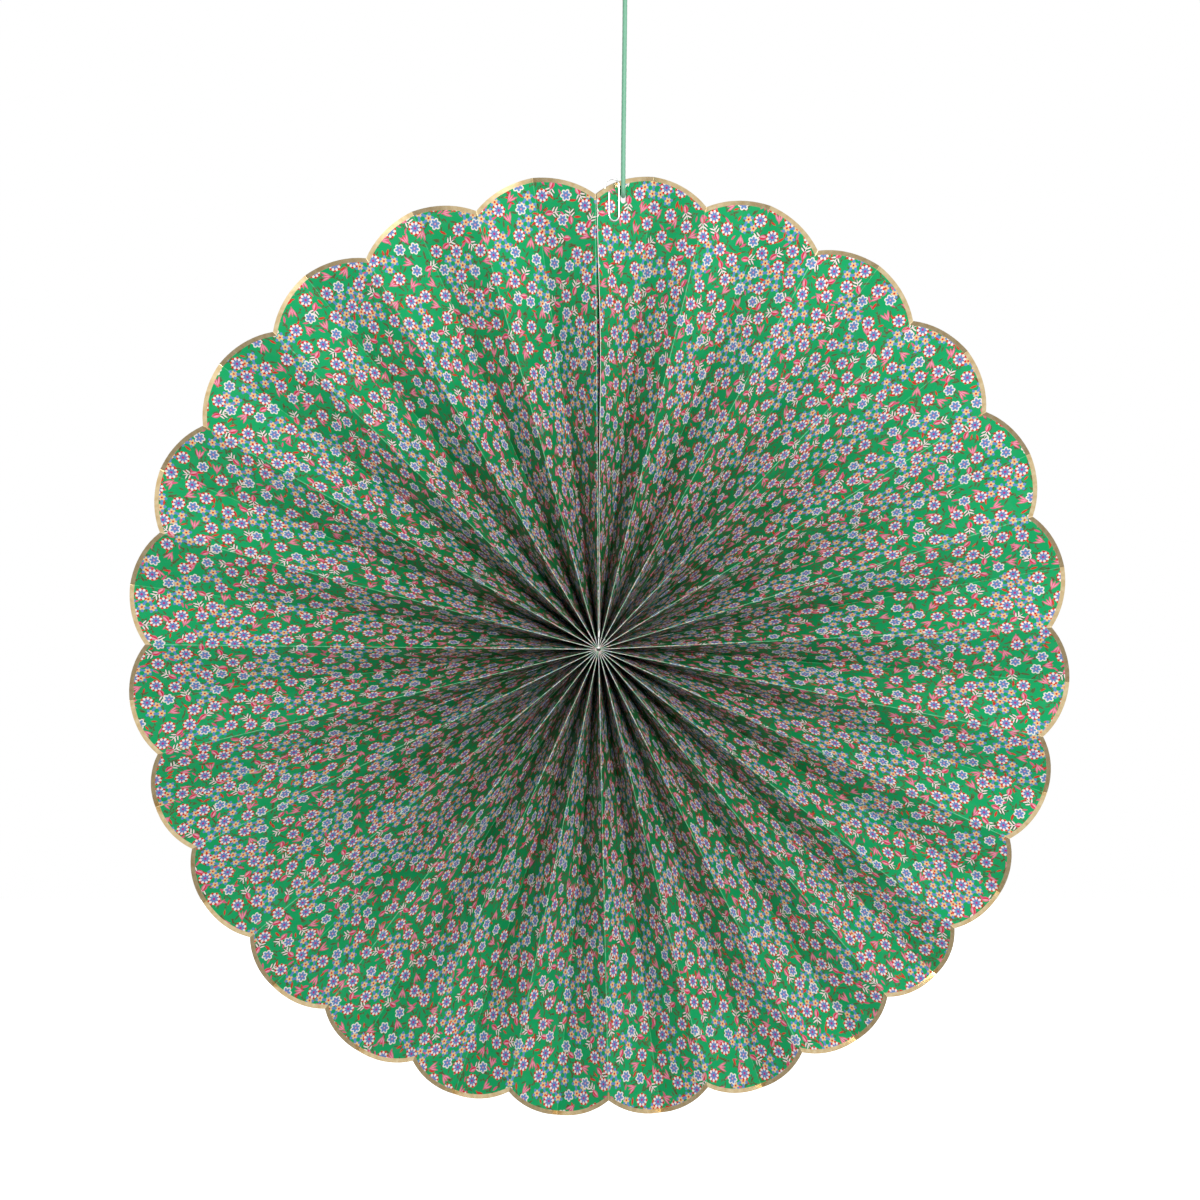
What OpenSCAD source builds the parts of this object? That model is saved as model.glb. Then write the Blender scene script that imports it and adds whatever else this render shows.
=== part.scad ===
// Pleated paper pinwheel with a scalloped rim, clipped shut at the top and hung by a cord.
// Three printed sheets are folded like a fan, glued end to end and opened into a disc.
// Millimetres. +Z is up and the printed front faces -Y. The origin is the point where a hook
// bears in the cord's loop, so the disc hangs below it.

/* [Disc] */
// Number of scallops around the disc, with two panels in each
scallops = 26; // [18:1:36]
// Radius of the disc at the notches between the scallops
notch_r = 215.2; // [150:0.1:260]
// How far the peak of a scallop stands out past its notches
scallop_rise = 10.4; // [4:0.2:14]
// Slope of an average panel at the rim, in degrees from the plane of the disc
rim_slope = 28; // [26:1:60]
// Extra opening of the pleats at the top over the average, as the weight spreads them
top_spread = 0.09; // [0:0.01:0.1]
// Angle of the seam from straight up, in degrees
seam_angle = -0.4; // [-3:0.1:3]

/* [Paper] */
// Thickness of the paper
paper_t = 0.2; // [0.12:0.02:0.3]
// Room for each panel where the pleats stack round the hub, in thicknesses of paper
hub_room = 1.6; // [1.6:0.1:3]
// Opening of the pleats that glue or the clip stiffens, as a share of the others' opening
stiff_opening = 0.93; // [0.88:0.01:1]
// Width of the glue tab that joins one sheet to the next
tab_w = 12; // [6:1:20]
// Radius inside which glue tabs and the tucked end panel are trimmed away
trim_r = 8; // [8:1:30]
// Clear space between two layers of paper that lie on each other
layer_gap = 0.3; // [0.2:0.05:0.5]
// How far a glued sheet's cut edge stops short of the fold that it lies in
edge_gap = 0.4; // [0.2:0.1:1]

/* [Centre thread] */
// Diameter of the thread that gathers the pleats
thread_d = 0.7; // [0.4:0.1:0.9]
// Radius of the ring that the thread makes round the hub
thread_ring_r = 4.8; // [4.8:0.2:8]
// Clear space between the thread and the sides of the square holes that it runs through
thread_gap = 0.25; // [0.15:0.05:0.4]

/* [Hanging hole] */
// Width of the oblong hole punched through the end panels
hole_w = 3.3; // [3:0.1:6]
// Height of the oblong hole
hole_h = 5.1; // [4.8:0.1:10]
// Distance from the rim to the middle of the hole
hole_inset = 8.8; // [7:0.2:14]

/* [Paper clip] */
// Diameter of the clip's wire
clip_wire_d = 0.9; // [0.7:0.05:1.2]
// Outside width of the small loop, on the front
clip_small_w = 6.3; // [5:0.1:7]
// Outside width of the large loop, on the back
clip_large_w = 7.8; // [7.4:0.1:10]
// Overall length of the clip
clip_l = 26.4; // [24:0.2:34]
// How far the large loop reaches past the small one
clip_step = 5.5; // [3:0.1:7]
// Length of the small loop's free leg, from the bottom of its bend
clip_small_leg = 13.8; // [8:0.2:18]
// Length of the large loop's free leg, from the bottom of its bend
clip_large_leg = 18.6; // [10:0.2:22]
// Distance from the seam to the middle of the clip
clip_from_seam = 9.6; // [6:0.1:10]
// Height of the clip's top above the rim at its middle
clip_over_rim = 2.6; // [2:0.1:5]
// Lean of the clip from its panel's middle line, in degrees anticlockwise
clip_lean = 2.7; // [0:0.1:6]
// Clear space between the wire and the paper
clip_gap = 0.4; // [0.3:0.05:0.6]

/* [Cord] */
// Diameter of the cord
cord_d = 2.2; // [1.6:0.1:2.6]
// Drop from the hook to the middle of the hanging hole
hole_drop = 107.5; // [107.5:0.5:109]
// Diameter of the knot at its middle
knot_d = 7; // [6:0.2:12]
// Height of the knot
knot_h = 6; // [4:0.2:10]
// Length of the cord's two tails above the knot
tail_l = 9; // [4:0.5:20]

/* [Hidden] */

printed_green = [0.07, 0.55, 0.34];
cord_green = [0.5, 0.78, 0.63];

// The flat sheets
panels = 2 * scallops;
sheet_panels = 2 * round(scallops / 3);
peak_r = notch_r + scallop_rise;
// A panel is as wide as it has to be to span its share of the rim at its slope
panel_w = 2 * peak_r * sin(180 / panels) / cos(rim_slope);
scallop_r = (panel_w ^ 2 + scallop_rise ^ 2) / (2 * scallop_rise);
hub_r = panels * hub_room * paper_t / (2 * PI);
layer = paper_t + layer_gap;
// Half the spacing of two panels at the crease between them
crease_half = 0.6 * paper_t;

// Folds are numbered clockwise from the seam. Even ones are mountains towards the viewer, and end in
// notches. Odd ones are valleys, and end in peaks. Panel i lies between folds i and i + 1.
first_joint = sheet_panels + 1;
second_joint = 2 * sheet_panels + 1;
stiff_folds = [1, first_joint, second_joint];
// Where the pleats are widest, in degrees anticlockwise from the seam
spread_phase = 2;

function is_stiff(i) = len([for (fold = stiff_folds) if (i == fold - 1 || i == fold) i]) > 0;
function opening(i) =
    (1 + top_spread * cos(360 * (i + 0.5) / panels + spread_phase)) * (is_stiff(i) ? stiff_opening : 1);
function opened_before(k) = k == 0 ? 0 : opened_before(k - 1) + opening(k - 1);
opened = [for (k = [0 : panels]) opened_before(k)];

// Angle of a fold, clockwise from straight up
function fold_angle(k) = seam_angle + 360 * (floor(k / panels) + opened[k % panels] / opened[panels]);
// Mean angle of the two panels that meet at a fold
function fold_opening(k) = (fold_angle(k + panels + 1) - fold_angle(k + panels - 1)) / 2;
// Depth of a fold at a radius, so that the panels keep their flat width all the way out
function fold_y(k, r) =
    (k % 2 == 0 ? -0.5 : 0.5) * sqrt(panel_w ^ 2 - (2 * r * sin(fold_opening(k) / 2)) ^ 2);
// Radius of the scalloped edge, where off_peak is the flat distance from the fold at the peak
function rim_r(off_peak) = peak_r - scallop_r + sqrt(scallop_r ^ 2 - off_peak ^ 2);
function off_peak(i, u) = (i % 2 == 0 ? 1 - u : u) * panel_w;

// A point of panel i, the share u of the way from fold i to fold i + 1, at radius r and so far in
// front of the panel's middle surface. On the outside of a crease it runs on round the fold.
function half_angle(i) = (fold_angle(i + 1) - fold_angle(i)) / 2;
function middle_angle(i) = (fold_angle(i + 1) + fold_angle(i)) / 2;
function half_span(i, r) = r * sin(half_angle(i)) - crease_half;
function slope(i, r) = atan2(fold_y(i + 1, r) - fold_y(i, r), 2 * half_span(i, r));
function panel_point(i, u, r, front, past_crease) =
    let (
        s = slope(i, r),
        middle = middle_angle(i),
        out = r * cos(half_angle(i)),
        along = past_crease * paper_t * abs(sin(s)),
        side = (2 * u - 1) * half_span(i, r) + front * sin(s) + along * cos(s),
        y = (1 - u) * fold_y(i, r) + u * fold_y(i + 1, r) - front * cos(s) + along * sin(s)
    )
    [out * sin(middle) + side * cos(middle), y, out * cos(middle) - side * sin(middle)];

// How far a panel's middle surface lies in front of its fold lines. Panel 0 closes the disc over the
// tucked panel, which goes on from the seam behind it, and a glue tab lies behind the sheet before.
function lift(i, u, r, is_tab) =
    is_tab ? -layer
    : i == 0 ? layer * (1 - u) * min(1, (r - hub_r) / (trim_r - hub_r))
    : i == panels ? -layer * u
    : 0;

// A sheet's columns run from its first cut edge to its last: [panel, share across it, is a tab]
needle_hole = thread_d + 2 * thread_gap;
hole_share = needle_hole / panel_w / 2;
across = [0, 0.25, 0.5 - hole_share, 0.5 + hole_share, 0.75, 1];
hole_column = 2;
edge_share = edge_gap / panel_w;
function tab_columns(i) = [for (share = [tab_w / panel_w, tab_w / panel_w / 2, 0]) [i, 1 - share, true]];
function panel_columns(first, last) = [for (i = [first : last], u = across) [i, u, false]];
function cut_short(columns) = [
    for (c = [0 : len(columns) - 1])
        c < len(columns) - 1 ? columns[c] : [columns[c][0], 1 - edge_share, false]
];
// Rows run from the hub to the rim, closer together where the folds flatten out faster. The thread's
// holes lie between the second and the third.
row_shares = [0.25, 0.48, 0.66, 0.8, 0.91, 1];
function rows(inner, outer) = concat(
    [
        inner,
        inner + thread_ring_r - needle_hole / 2 - hub_r,
        inner + thread_ring_r + needle_hole / 2 - hub_r
    ],
    [for (share = row_shares) inner + share * (outer - inner)]
);
hole_row = 1;

function is_trimmed(column) = column[2] || column[0] == panels;
// Which way a face turns round a crease: 1 past fold i + 1, -1 past fold i, 0 if it doesn't
function past_crease(column, face, at_cut) =
    at_cut || (column[1] != 0 && column[1] != 1) ? 0
    : (column[0] + column[1]) % 2 == (face > 0 ? 0 : 1) ? (column[1] == 1 ? 1 : -1)
    : 0;
function column_points(column, face, at_cut) =
    let (i = column[0], u = column[1])
    [
        for (r = rows(is_trimmed(column) ? trim_r : hub_r, rim_r(off_peak(i, u))))
            panel_point(
                i, u, r,
                lift(i, u, r, column[2]) + face * paper_t / 2,
                past_crease(column, face, at_cut)
            )
    ];

// A closed sheet from its columns. Front points come first, then back points, column by column.
module folded_sheet(columns) {
    last = len(columns) - 1;
    n = len(rows(hub_r, peak_r));
    grid = [for (face = [1, -1], c = [0 : last]) column_points(columns[c], face, c == 0 || c == last)];
    function front(c, r) = c * n + r;
    function back(c, r) = (c + last + 1) * n + r;
    function has_hole(c, r) =
        r == hole_row && !is_trimmed(columns[c]) && columns[c][1] == across[hole_column];
    cells = [for (c = [0 : last - 1], r = [0 : n - 2]) [c, r]];
    open_cells = [for (cell = cells) if (has_hole(cell[0], cell[1])) cell];
    quads = concat(
        [
            for (cell = cells) let (c = cell[0], r = cell[1]) if (!has_hole(c, r))
                [front(c, r), front(c, r + 1), front(c + 1, r + 1), front(c + 1, r)]
        ],
        [
            for (cell = cells) let (c = cell[0], r = cell[1]) if (!has_hole(c, r))
                [back(c, r), back(c + 1, r), back(c + 1, r + 1), back(c, r + 1)]
        ],
        [for (c = [0 : last - 1]) [front(c, 0), front(c + 1, 0), back(c + 1, 0), back(c, 0)]],
        [
            for (c = [0 : last - 1])
                [front(c + 1, n - 1), front(c, n - 1), back(c, n - 1), back(c + 1, n - 1)]
        ],
        [for (r = [0 : n - 2]) [front(0, r + 1), front(0, r), back(0, r), back(0, r + 1)]],
        [for (r = [0 : n - 2]) [front(last, r), front(last, r + 1), back(last, r + 1), back(last, r)]],
        [
            for (cell = open_cells)
                let (
                    c = cell[0],
                    r = cell[1],
                    ring = [[c, r], [c, r + 1], [c + 1, r + 1], [c + 1, r]]
                )
                for (k = [0 : 3])
                    let (a = ring[k], b = ring[(k + 1) % 4])
                    [front(a[0], a[1]), front(b[0], b[1]), back(b[0], b[1]), back(a[0], a[1])]
        ]
    );
    polyhedron(
        points = [for (column = grid, point = column) point],
        faces = [for (q = quads, half = [[q[0], q[1], q[2]], [q[0], q[2], q[3]]]) half],
        convexity = 20
    );
}

// Places children on the end panel, the distance across from the seam and at a radius: X across the
// panel, Y behind it and Z outwards along it
module on_end_panel(from_seam, r) {
    u = from_seam / panel_w;
    reach = 10;
    here = panel_point(0, u, r, lift(0, u, r, false), 0);
    further_in = panel_point(0, u, r - reach, 0, 0);
    further_out = panel_point(0, u, r + reach, 0, 0);
    lean_back = atan2((further_out[1] - further_in[1]) * cos(slope(0, r)), 2 * reach);
    translate(here)
        rotate([0, middle_angle(0), 0])
            rotate([0, 0, slope(0, r)])
                rotate([-lean_back, 0, 0])
                    children();
}

// The hanging hole is punched through the middle of the end panel and of the tucked panel behind it
hole_from_seam = panel_w / 2;
hole_r = rim_r(panel_w - hole_from_seam) - hole_inset;
hole_at = panel_point(0, hole_from_seam / panel_w, hole_r, 0, 0);
punch_l = 20 * layer;

module hanging_hole() {
    straight = hole_h - hole_w;
    on_end_panel(hole_from_seam, hole_r) {
        for (end = [-1, 1])
            translate([0, 0, end * straight / 2])
                rotate([90, 0, 0])
                    cylinder(d = hole_w, h = punch_l, center = true, $fn = 48);
        cube([hole_w, punch_l, straight], center = true);
    }
}

// The cord's route in the frame of the whole part, from the knot down the front, through the hole
// and up the back
cord_route = [
    [0, -1.4, 3],
    [0, -1.4, 2],
    [0, -2, 0],
    [0, -2.6, -3],
    [0, -3, -8],
    [0, -3.2, -16],
    [-0.1, -3.4, -28],
    [-0.3, -3.7, -46],
    [-0.5, -4, -64],
    [-0.7, -4.3, -82],
    [-0.8, -4.6, -96],
    [-0.8, -4.6, -101],
    [-0.8, -4.2, -103.8],
    [-0.8, -3, -105.5],
    [-0.8, -1.4, -106.3],
    [-0.8, 0.2, -106.5],
    [-0.8, 1.8, -106.2],
    [-0.8, 3.3, -105.2],
    [-0.8, 4.4, -103.4],
    [-0.8, 4.8, -100.8],
    [-0.8, 4.8, -96],
    [-0.7, 4.4, -82],
    [-0.5, 4.1, -64],
    [-0.3, 3.8, -46],
    [-0.1, 3.5, -28],
    [0, 3.2, -16],
    [0, 3, -8],
    [0, 2.6, -3],
    [0, 2, 0],
    [0, 1.4, 2],
    [0, 1.4, 3]
];
cord_sides = 8;
// Where the middle of the hole lies in the frame of the whole part
hole_place = [-0.8, 0.1, -hole_drop];
knot_base = 3;

// The clip's wire in the plane of the end panel: [across, behind, out], from its free front end
wire_sides = 8;
bend_steps = 10;
clip_r = rim_r(panel_w - clip_from_seam) + clip_over_rim - clip_l / 2;
small_half = (clip_small_w - clip_wire_d) / 2;
large_half = (clip_large_w - clip_wire_d) / 2;
top_half = (small_half + large_half) / 2;
top_side = (small_half - large_half) / 2;
top_out = clip_l / 2 - clip_wire_d / 2 - top_half;
large_out = clip_wire_d / 2 + large_half - clip_l / 2;
small_out = clip_wire_d / 2 + small_half + clip_step - clip_l / 2;
front_y = -(paper_t / 2 + clip_gap + clip_wire_d / 2);
back_y = layer - front_y;
// The wire crosses the paper's edge in the top bend, between these shares of the way round it
cross_from = 0.25;
cross_to = 0.875;
function crossed(share) = min(1, max(0, (share - cross_from) / (cross_to - cross_from)));
function crossing(share) = front_y + (back_y - front_y) * (1 - cos(180 * crossed(share))) / 2;
clip_path = concat(
    [[-small_half, front_y, small_out + clip_small_leg - small_half]],
    [
        for (k = [0 : bend_steps]) let (a = 180 + 180 * k / bend_steps)
            [small_half * cos(a), front_y, small_out + small_half * sin(a)]
    ],
    [
        for (k = [0 : bend_steps]) let (share = k / bend_steps, a = 180 * share)
            [top_side + top_half * cos(a), crossing(share), top_out + top_half * sin(a)]
    ],
    [
        for (k = [0 : bend_steps]) let (a = 180 + 180 * k / bend_steps)
            [large_half * cos(a), back_y, large_out + large_half * sin(a)]
    ],
    [[large_half, back_y, large_out + clip_large_leg - large_half]]
);

function unit(v) = v / norm(v);
// A round tube of one polyhedron along a path, with its rings set square to the path about one
// reference direction that the path never follows
module tube(path, d, sides, reference) {
    last = len(path) - 1;
    function heading(k) =
        k == 0 ? unit(path[1] - path[0])
        : k == last ? unit(path[last] - path[last - 1])
        : unit(unit(path[k + 1] - path[k]) + unit(path[k] - path[k - 1]));
    function ring(k) =
        let (t = heading(k), a = unit(cross(t, reference)) * d / 2, b = cross(t, a))
        [for (s = [0 : sides - 1]) path[k] + a * cos(360 * s / sides) + b * sin(360 * s / sides)];
    function at(k, s) = k * sides + s % sides;
    polyhedron(
        points = [for (k = [0 : last], point = ring(k)) point],
        faces = concat(
            [[for (s = [0 : sides - 1]) s]],
            [[for (s = [sides - 1 : -1 : 0]) last * sides + s]],
            [
                for (k = [0 : last - 1], s = [0 : sides - 1])
                    let (a = at(k, s), b = at(k + 1, s), c = at(k + 1, s + 1), d = at(k, s + 1))
                    for (half = [[a, b, c], [a, c, d]]) half
            ]
        ),
        convexity = 8
    );
}

// Hangs what is modelled about the hub so that the hanging hole comes to its place under the hook
module hung() {
    translate(hole_place - hole_at)
        children();
}

// The sheet right of the seam, whose first panel lies over the tucked one
module right_sheet() {
    color(printed_green)
        hung()
            difference() {
                folded_sheet(cut_short(panel_columns(0, first_joint - 1)));
                hanging_hole();
            }
}

// The sheet at the bottom, with a glue tab behind the right sheet's last panel
module lower_sheet() {
    color(printed_green)
        hung()
            folded_sheet(cut_short(concat(
                tab_columns(first_joint - 1),
                panel_columns(first_joint, second_joint - 1)
            )));
}

// The sheet left of the seam, with a glue tab behind the lower sheet's last panel and with its own
// last panel tucked behind the first one
module left_sheet() {
    color(printed_green)
        hung()
            difference() {
                folded_sheet(cut_short(concat(
                    tab_columns(second_joint - 1),
                    panel_columns(second_joint, panels)
                )));
                hanging_hole();
            }
}

// The thread that is sewn through every panel near the hub and drawn tight
module centre_thread() {
    color("white")
        hung()
            rotate([90, 0, 0])
                rotate_extrude($fn = 72)
                    translate([thread_ring_r, 0])
                        circle(d = thread_d, $fn = 24);
}

// A wire clip pushed over the rim, with its small loop on the front
module paper_clip() {
    color("silver")
        hung()
            on_end_panel(clip_from_seam, clip_r)
                rotate([0, -clip_lean, 0])
                    tube(clip_path, clip_wire_d, wire_sides, [0, 1, 0]);
}

// The cord, doubled through the hanging hole
module hanging_cord() {
    color(cord_green)
        tube(cord_route, cord_d, cord_sides, [1, 0, 0]);
}

// The knot that ties the cord's ends above the hook, with two tails
module cord_knot() {
    mouth = cord_d + 0.4;
    belly = 60;
    tail_apart = 0.6 * cord_d;
    tail_tilt = 14;
    color(cord_green)
        translate([0, 0, knot_base]) {
            rotate_extrude($fn = 48)
                polygon(concat(
                    [[0, 0]],
                    [
                        for (a = [-belly : 15 : belly])
                            [
                                mouth + (knot_d / 2 - mouth) * (cos(a) - cos(belly)) / (1 - cos(belly)),
                                knot_h * (1 + sin(a) / sin(belly)) / 2
                            ]
                    ],
                    [[0, knot_h]]
                ));
            for (side = [-1, 1])
                translate([side * tail_apart, 0, knot_h - cord_d / 2])
                    rotate([0, side * tail_tilt, 0])
                        cylinder(d = cord_d, h = tail_l + cord_d / 2, $fn = 24);
        }
}

right_sheet();
lower_sheet();
left_sheet();
centre_thread();
paper_clip();
hanging_cord();
cord_knot();
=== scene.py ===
from math import atan2, ceil, cos, exp, pi, radians, sin, sqrt

import bpy
from mathutils import Matrix, Vector, noise


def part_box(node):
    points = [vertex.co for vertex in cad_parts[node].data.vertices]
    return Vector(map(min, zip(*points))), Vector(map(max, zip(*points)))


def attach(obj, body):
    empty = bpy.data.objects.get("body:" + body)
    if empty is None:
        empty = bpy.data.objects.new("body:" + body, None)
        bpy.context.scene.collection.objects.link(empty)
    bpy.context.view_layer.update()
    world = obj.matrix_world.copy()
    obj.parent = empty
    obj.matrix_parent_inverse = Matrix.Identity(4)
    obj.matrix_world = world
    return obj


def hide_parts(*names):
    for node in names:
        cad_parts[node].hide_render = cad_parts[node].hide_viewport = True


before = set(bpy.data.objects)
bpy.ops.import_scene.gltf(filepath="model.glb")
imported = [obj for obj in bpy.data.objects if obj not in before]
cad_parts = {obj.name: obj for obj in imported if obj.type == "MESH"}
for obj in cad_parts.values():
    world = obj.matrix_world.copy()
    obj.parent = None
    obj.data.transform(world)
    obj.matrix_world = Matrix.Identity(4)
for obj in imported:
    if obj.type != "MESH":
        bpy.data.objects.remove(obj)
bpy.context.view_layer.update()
bpy.ops.object.select_all(action="DESELECT")
MM = 0.001


# The camera. It looks at the disc from in front and from very slightly above, from about two metres
# away, with the hub a little below the middle of the picture.
hub_low, hub_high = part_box("centre_thread")
hub = (hub_low + hub_high) / 2
look_at = hub + Vector((0.7, 0, 22.8)) * MM
camera_away = 2.1
camera_tilt = radians(1.9)
picture_width = 0.5712
sensor = 36

bpy.ops.object.camera_add(
    location=look_at + camera_away * Vector((0, -cos(camera_tilt), sin(camera_tilt))),
    rotation=(pi / 2 - camera_tilt, 0, 0),
)
camera = bpy.context.object
camera.name = "camera"
camera.data.sensor_width = sensor
camera.data.lens = sensor * camera_away / picture_width
camera.data.clip_start, camera.data.clip_end = 0.1, 30
bpy.context.scene.camera = camera
bpy.context.scene.view_settings.view_transform = "Standard"


# The cord. It is a thin, smooth mint green cord, spun of three strands and doubled through the
# hanging hole, with both ends going up into a knot just above the picture. A route's points are in
# millimetres.
cord_d = 2.2 * MM
cord_route = [
    (0, -1.4, 3), (0, -1.4, 2), (0, -2, 0), (0, -2.6, -3), (0, -3, -8), (0, -3.2, -16),
    (-0.1, -3.4, -28), (-0.3, -3.7, -46), (-0.5, -4, -64), (-0.7, -4.3, -82), (-0.8, -4.6, -96),
    (-0.8, -4.6, -101), (-0.8, -4.2, -103.8), (-0.8, -3, -105.5), (-0.8, -1.4, -106.3),
    (-0.8, 0.2, -106.5), (-0.8, 1.8, -106.2), (-0.8, 3.3, -105.2), (-0.8, 4.4, -103.4),
    (-0.8, 4.8, -100.8), (-0.8, 4.8, -96), (-0.7, 4.4, -82), (-0.5, 4.1, -64), (-0.3, 3.8, -46),
    (-0.1, 3.5, -28), (0, 3.2, -16), (0, 3, -8), (0, 2.6, -3), (0, 2, 0), (0, 1.4, 2), (0, 1.4, 3),
]


def smooth_path(points, step):
    """A smooth line in metres through points in millimetres, at steps of so many millimetres."""
    points = [Vector(p) for p in points]
    points = [2 * points[0] - points[1], *points, 2 * points[-1] - points[-2]]
    line = []
    for a, b, c, d in zip(points, points[1:], points[2:], points[3:]):
        pieces = max(1, ceil((c - b).length / step))
        for k in range(pieces):
            t = k / pieces
            line.append(
                0.5 * (2 * b + (c - a) * t + (2 * a - 5 * b + 4 * c - d) * t * t
                       + (3 * b - a - 3 * c + d) * t ** 3) * MM
            )
    return line + [points[-2] * MM]


def length_of(line):
    return sum((b - a).length for a, b in zip(line, line[1:]))


def add_mesh(name, points, faces):
    mesh = bpy.data.meshes.new(name)
    mesh.from_pydata(points, [], faces)
    piece = bpy.data.objects.new(name, mesh)
    bpy.context.scene.collection.objects.link(piece)
    return piece


def wound_tube(name, line, radius, sides, strands=0, groove=0.0, twist=1.0, closed=False):
    """A round tube along a line, with grooves between its twisted strands and flat ends."""
    count = len(line)
    points, faces = [], []
    ahead = (line[1] - line[0]).normalized()
    across = ahead.orthogonal().normalized()
    run = 0.0
    for k, here in enumerate(line):
        before = line[(k - 1) % count] if closed or k else here
        after = line[(k + 1) % count] if closed or k < count - 1 else here
        turned = (after - before).normalized()
        across = (ahead.rotation_difference(turned) @ across).normalized()
        ahead = turned
        run += (here - line[k - 1]).length if k else 0.0
        side = ahead.cross(across)
        for s in range(sides):
            a = 2 * pi * s / sides
            bulge = abs(cos(strands * (a - 2 * pi * run / twist) / 2)) if strands else 1
            r = radius * (1 - groove * (1 - bulge))
            points.append(here + r * (cos(a) * across + sin(a) * side))
    rings = count if closed else count - 1
    for k in range(rings):
        for s in range(sides):
            a, b = k * sides, (k + 1) % count * sides
            n = (s + 1) % sides
            faces.append((a + s, a + n, b + n, b + s))
    if not closed:
        faces.append(tuple(reversed(range(sides))))
        faces.append(tuple((count - 1) * sides + s for s in range(sides)))
    tube = add_mesh(name, points, faces)
    tube.data.shade_smooth()
    for face in tube.data.polygons[rings * sides:]:
        face.use_smooth = False
    return tube


class Wire:
    """A number or vector on its way through a material's nodes, so sums are written as sums."""

    def __init__(self, tree, socket):
        self.tree, self.socket = tree, socket

    def calc(self, operation, *others, clamp=False):
        node = self.tree.nodes.new("ShaderNodeMath")
        node.operation, node.use_clamp = operation, clamp
        for slot, value in zip(node.inputs, (self, *others)):
            feed(self.tree, slot, value)
        return Wire(self.tree, node.outputs[0])

    def __add__(self, other):
        return self.calc("ADD", other)

    def __sub__(self, other):
        return self.calc("SUBTRACT", other)

    def __mul__(self, other):
        return self.calc("MULTIPLY", other)

    def __truediv__(self, other):
        return self.calc("DIVIDE", other)

    def __abs__(self):
        return self.calc("ABSOLUTE")

    def flipped(self):
        """1 where this is 0, and 0 where it is 1."""
        return self.calc("MULTIPLY_ADD", -1, 1)

    def held(self):
        return self.calc("MULTIPLY", 1, clamp=True)

    def above(self, level, softness):
        """0 below the level and 1 above it, with a soft step between."""
        return ((self - level) / softness + 0.5).held()

    def part(self, axis):
        node = self.tree.nodes.new("ShaderNodeSeparateXYZ")
        feed(self.tree, node.inputs[0], self)
        return Wire(self.tree, node.outputs[axis])

    def scaled(self, by):
        node = self.tree.nodes.new("ShaderNodeVectorMath")
        node.operation = "MULTIPLY"
        feed(self.tree, node.inputs[0], self)
        feed(self.tree, node.inputs[1], by)
        return Wire(self.tree, node.outputs[0])

    def turned(self, angle):
        node = self.tree.nodes.new("ShaderNodeVectorRotate")
        node.rotation_type = "Z_AXIS"
        feed(self.tree, node.inputs["Vector"], self)
        feed(self.tree, node.inputs["Angle"], angle)
        return Wire(self.tree, node.outputs[0])

    def moved(self, by, operation="ADD"):
        node = self.tree.nodes.new("ShaderNodeVectorMath")
        node.operation = operation
        feed(self.tree, node.inputs[0], self)
        feed(self.tree, node.inputs[1], by)
        return Wire(self.tree, node.outputs[0])


def feed(tree, slot, value):
    if isinstance(value, Wire):
        tree.links.new(value.socket, slot)
    else:
        slot.default_value = value


def ink(red, green, blue):
    """A colour as it looks on a screen, from 0 to 255, made ready for a shader."""
    shares = [c / 255 for c in (red, green, blue)]
    return (*[c / 12.92 if c <= 0.04045 else ((c + 0.055) / 1.055) ** 2.4 for c in shares], 1)


def combined(tree, x, y, z=0.0):
    node = tree.nodes.new("ShaderNodeCombineXYZ")
    for slot, value in zip(node.inputs, (x, y, z)):
        feed(tree, slot, value)
    return Wire(tree, node.outputs[0])


def mottle(tree, where, scale, detail):
    """Soft noise from 0 to 1."""
    node = tree.nodes.new("ShaderNodeTexNoise")
    feed(tree, node.inputs["Vector"], where)
    node.inputs["Scale"].default_value = scale
    node.inputs["Detail"].default_value = detail
    return Wire(tree, node.outputs[0])


def blend_ink(tree, share, under, over):
    node = tree.nodes.new("ShaderNodeMix")
    node.data_type = "RGBA"
    feed(tree, node.inputs[0], share)
    feed(tree, node.inputs[6], under)
    feed(tree, node.inputs[7], over)
    return Wire(tree, node.outputs[2])


def bumped(tree, height, strength, distance):
    node = tree.nodes.new("ShaderNodeBump")
    node.inputs["Strength"].default_value = strength
    node.inputs["Distance"].default_value = distance
    feed(tree, node.inputs["Height"], height)
    return Wire(tree, node.outputs[0])


def new_effect(name, inputs, outputs):
    """An effect that is used again and again: its node tree, named inputs and output node."""
    tree = bpy.data.node_groups.new(name, "ShaderNodeTree")
    for label, kind, value in inputs:
        socket = tree.interface.new_socket(
            name=label, in_out="INPUT", socket_type="NodeSocket" + kind
        )
        if value is not None:
            socket.default_value = value
    for label, kind in outputs:
        tree.interface.new_socket(name=label, in_out="OUTPUT", socket_type="NodeSocket" + kind)
    entry = tree.nodes.new("NodeGroupInput")
    leave = tree.nodes.new("NodeGroupOutput")
    return tree, {label: Wire(tree, entry.outputs[label]) for label, _, _ in inputs}, leave


def use_effect(tree, effect, **values):
    node = tree.nodes.new("ShaderNodeGroup")
    node.node_tree = effect
    for label, value in values.items():
        feed(tree, node.inputs[label.replace("_", " ")], value)
    return {slot.name: Wire(tree, slot) for slot in node.outputs}


def new_finish(name):
    material = bpy.data.materials.new(name)
    material.use_nodes = True
    tree = material.node_tree
    return material, tree, tree.nodes["Principled BSDF"]


def object_place(tree):
    return Wire(tree, tree.nodes.new("ShaderNodeTexCoord").outputs["Object"])


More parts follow.
